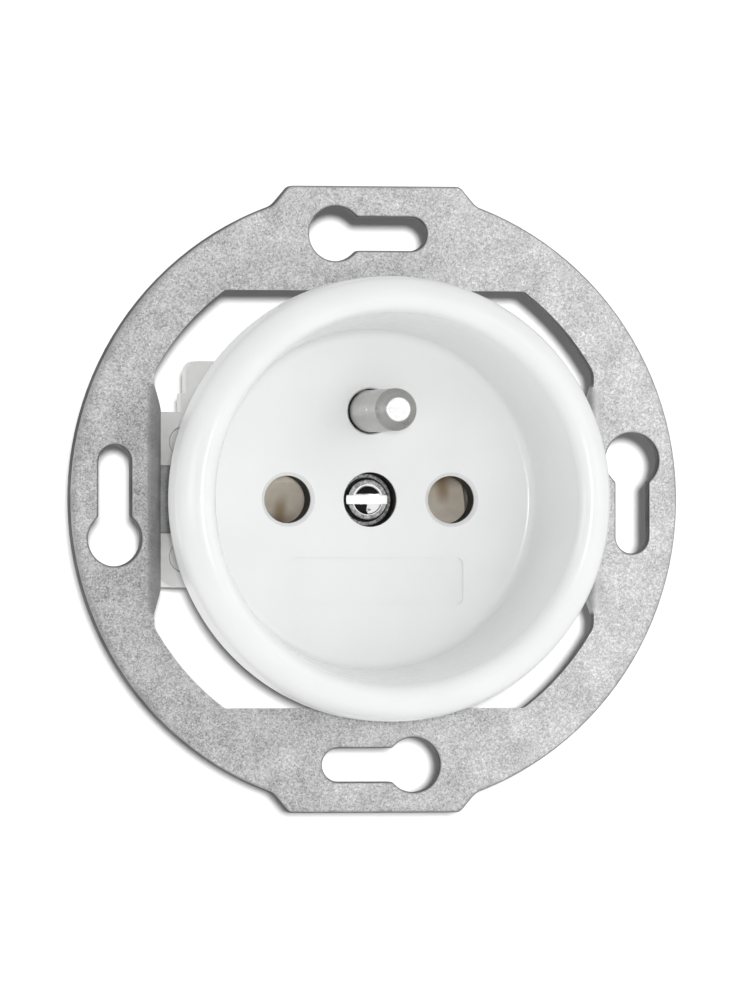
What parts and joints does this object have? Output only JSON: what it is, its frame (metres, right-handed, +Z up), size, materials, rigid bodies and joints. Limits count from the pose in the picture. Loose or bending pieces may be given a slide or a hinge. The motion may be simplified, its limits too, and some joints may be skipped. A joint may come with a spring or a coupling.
{
  "type": "porcelain wall socket",
  "caption": "Round porcelain wall socket insert with a recessed cup, standing earth pin, child shutter and a flat steel support ring for a wall box.",
  "frame": {"origin": "centre of the keyhole circle on the socket's axis, in the back face of the support ring that meets the wall", "axes": "-Y out of the wall towards the user, +Z up with the earth pin above the contact holes, +X to the user's right"},
  "size_m": [0.0704, 0.0371, 0.0708],
  "materials": {
    "zinc_steel": "speckled zinc plating, matt",
    "porcelain": "white glazed porcelain",
    "nickel": "satin nickel",
    "screw_nickel": "bright nickel",
    "contact_brass": "plain stamped brass",
    "white_plastic": "moulded white plastic",
    "beige_plastic": "moulded beige plastic",
    "spring_steel": "drawn wire",
    "terminal_steel": "zinc plating"
  },
  "bodies": {
    "socket": {"support_ring": "zinc_steel", "porcelain_cup": "porcelain", "earth_pin": "nickel", "cup_screw": "screw_nickel", "cup_washer": "screw_nickel", "centre_bush": "contact_brass", "earth_bridge": "zinc_steel", "left_rivet": "contact_brass", "right_rivet": "contact_brass", "base_body": "white_plastic", "shutter_spring": "spring_steel", "shutter_plate": "beige_plastic", "rear_cover": "white_plastic", "live_contact": "contact_brass", "neutral_contact": "contact_brass", "live_clamp": "terminal_steel", "neutral_clamp": "terminal_steel", "earth_clamp": "terminal_steel", "live_screw": "terminal_steel", "neutral_screw": "terminal_steel", "earth_screw": "terminal_steel"},
    "shutter": {"shutter": "beige_plastic"}
  },
  "joints": [
    {"name": "shutter_turn", "type": "hinge", "parent": "socket", "child": "shutter", "pos_m": [0, 0.009, 0], "axis": [0, 1, 0], "range_deg": [0, 36], "stiffness_Nm_per_rad": 0.002, "springref_deg": -17.19, "deforming": ["shutter_spring"]}
  ]
}
